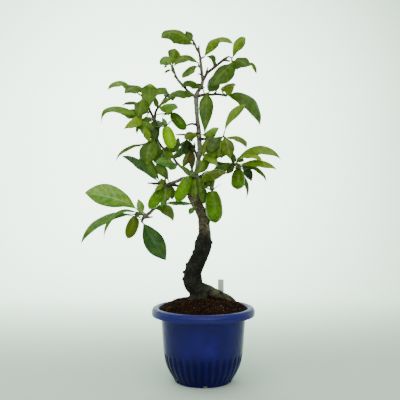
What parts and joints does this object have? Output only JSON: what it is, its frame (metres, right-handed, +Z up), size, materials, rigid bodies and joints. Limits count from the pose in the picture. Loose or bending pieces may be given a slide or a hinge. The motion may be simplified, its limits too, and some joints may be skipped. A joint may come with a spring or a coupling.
{
  "type": "diospyros rhombifolia bonsai",
  "caption": "Princess persimmon bonsai: a curved old trunk with thin leafy branches and hanging unripe fruits, growing in soil in a round fluted pot of glossy blue plastic.",
  "frame": {"origin": "middle of the pot's underside, on the surface the pot stands on", "axes": "+Z up along the pot's axis, +X to the right and -Y towards the viewer when the tree's front is seen"},
  "size_m": [0.232, 0.1243, 0.4097],
  "materials": {
    "pot_plastic": "glossy moulded plastic, cobalt blue",
    "soil": "damp granular bonsai soil, dark reddish brown, matt",
    "bark": "rough bark, charcoal on the old trunk and pale grey on the leader",
    "label_plastic": "blank white plastic, satin",
    "leaf": "leathery green leaf, satin above and duller below",
    "fruit_skin": "smooth waxy unripe fruit skin, satin green",
    "calyx": "dull green sepals with browned tips"
  },
  "bodies": {
    "root": {"pot": "pot_plastic", "soil": "soil", "trunk_and_branches": "bark", "plant_label": "label_plastic", "leaves_apex": "leaf", "leaf_crown": "leaf", "leaf_right_spur": "leaf", "leaves_left_leader": "leaf", "leaves_far_left_twig": "leaf", "leaf_fork_dark": "leaf", "leaf_over_twig": "leaf", "leaves_right_leader": "leaf", "leaves_upper_right": "leaf", "leaves_centre_right": "leaf", "leaves_middle_right": "leaf", "leaf_middle_stem": "leaf", "leaves_right_hub": "leaf", "leaf_low_yellow": "leaf", "leaf_bright_inner": "leaf", "leaves_trunk_left": "leaf", "leaves_upper_left_tip": "leaf", "leaf_curled_bright": "leaf", "leaves_inner_fork": "leaf", "leaf_fork_green": "leaf", "leaves_left_fork": "leaf", "leaves_left_branch": "leaf", "leaf_blue_green": "leaf", "leaves_low_left_hub": "leaf", "leaf_low_left": "leaf", "leaf_olive_stem": "leaf", "leaves_back_centre": "leaf", "leaves_back_right": "leaf", "leaves_back_top": "leaf", "leaves_back_left_branch": "leaf", "leaves_back_left_fork": "leaf", "leaves_back_low_right": "leaf", "leaves_low_end": "leaf", "leaf_low_olive": "leaf", "leaf_low_hanging": "leaf", "fruit_upper_left": "fruit_skin", "calyx_upper_left": "calyx", "fruit_upper_dark": "fruit_skin", "calyx_upper_dark": "calyx", "fruit_low_bright": "fruit_skin", "calyx_low_bright": "calyx", "fruit_large": "fruit_skin", "calyx_large": "calyx", "fruit_right_dark": "fruit_skin", "calyx_right_dark": "calyx", "fruit_low_olive": "fruit_skin", "calyx_low_olive": "calyx", "fruit_low_left": "fruit_skin", "calyx_low_left": "calyx"}
  },
  "joints": []
}
